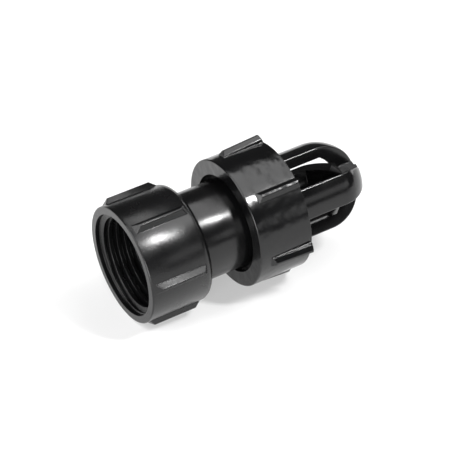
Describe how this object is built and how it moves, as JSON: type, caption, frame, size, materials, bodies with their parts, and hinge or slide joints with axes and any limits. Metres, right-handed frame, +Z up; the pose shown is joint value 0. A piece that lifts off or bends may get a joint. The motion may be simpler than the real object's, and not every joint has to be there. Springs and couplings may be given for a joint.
{
  "type": "foot valve",
  "caption": "Black plastic foot valve with a swivel hose nut, a neck, a ribbed union collar, a spring-loaded check valve inside and a domed strainer cage.",
  "frame": {"origin": "centre of the swivel hose nut's mouth, on the flow axis", "axes": "+X along the flow axis from the hose nut to the strainer's tip, +Z up with the valve lying on its side"},
  "size_m": [0.0709, 0.038, 0.0368],
  "materials": {
    "black_plastic": "semi-gloss moulded black plastic",
    "valve_plastic": "satin moulded black plastic",
    "rubber": "matt black rubber",
    "spring_steel": "drawn stainless wire"
  },
  "bodies": {
    "neck": {"neck_tube": "black_plastic", "hose_washer": "rubber", "union_gasket": "rubber", "cartridge_housing": "valve_plastic", "cartridge_o_ring": "rubber", "spring_guide": "valve_plastic", "valve_spring": "spring_steel"},
    "swivel_nut": {"hose_nut": "black_plastic"},
    "collar": {"union_collar": "black_plastic"},
    "strainer": {"strainer_basket": "black_plastic"},
    "valve": {"poppet": "valve_plastic", "poppet_seal": "rubber", "seal_retainer": "valve_plastic"}
  },
  "joints": [
    {"name": "nut_swivel", "type": "hinge", "parent": "neck", "child": "swivel_nut", "pos_m": [0.009, 0, 0], "axis": [1, 0, 0], "continuous": true},
    {"name": "collar_turn", "type": "hinge", "parent": "neck", "child": "collar", "pos_m": [0.038, 0, 0], "axis": [-1, 0, 0], "range_deg": [0, 1080]},
    {"name": "strainer_travel", "type": "slide", "parent": "neck", "child": "strainer", "axis": [1, 0, 0], "range_m": [0, 0.0075]},
    {"name": "poppet_lift", "type": "slide", "parent": "neck", "child": "valve", "axis": [-1, 0, 0], "range_m": [0, 0.0045], "stiffness_N_per_m": 40, "springref_m": -0.003, "deforming": ["valve_spring"]}
  ],
  "couplings": [
    {"joint": "strainer_travel", "follows": "collar_turn", "m_per_rad": 0.00039789}
  ]
}
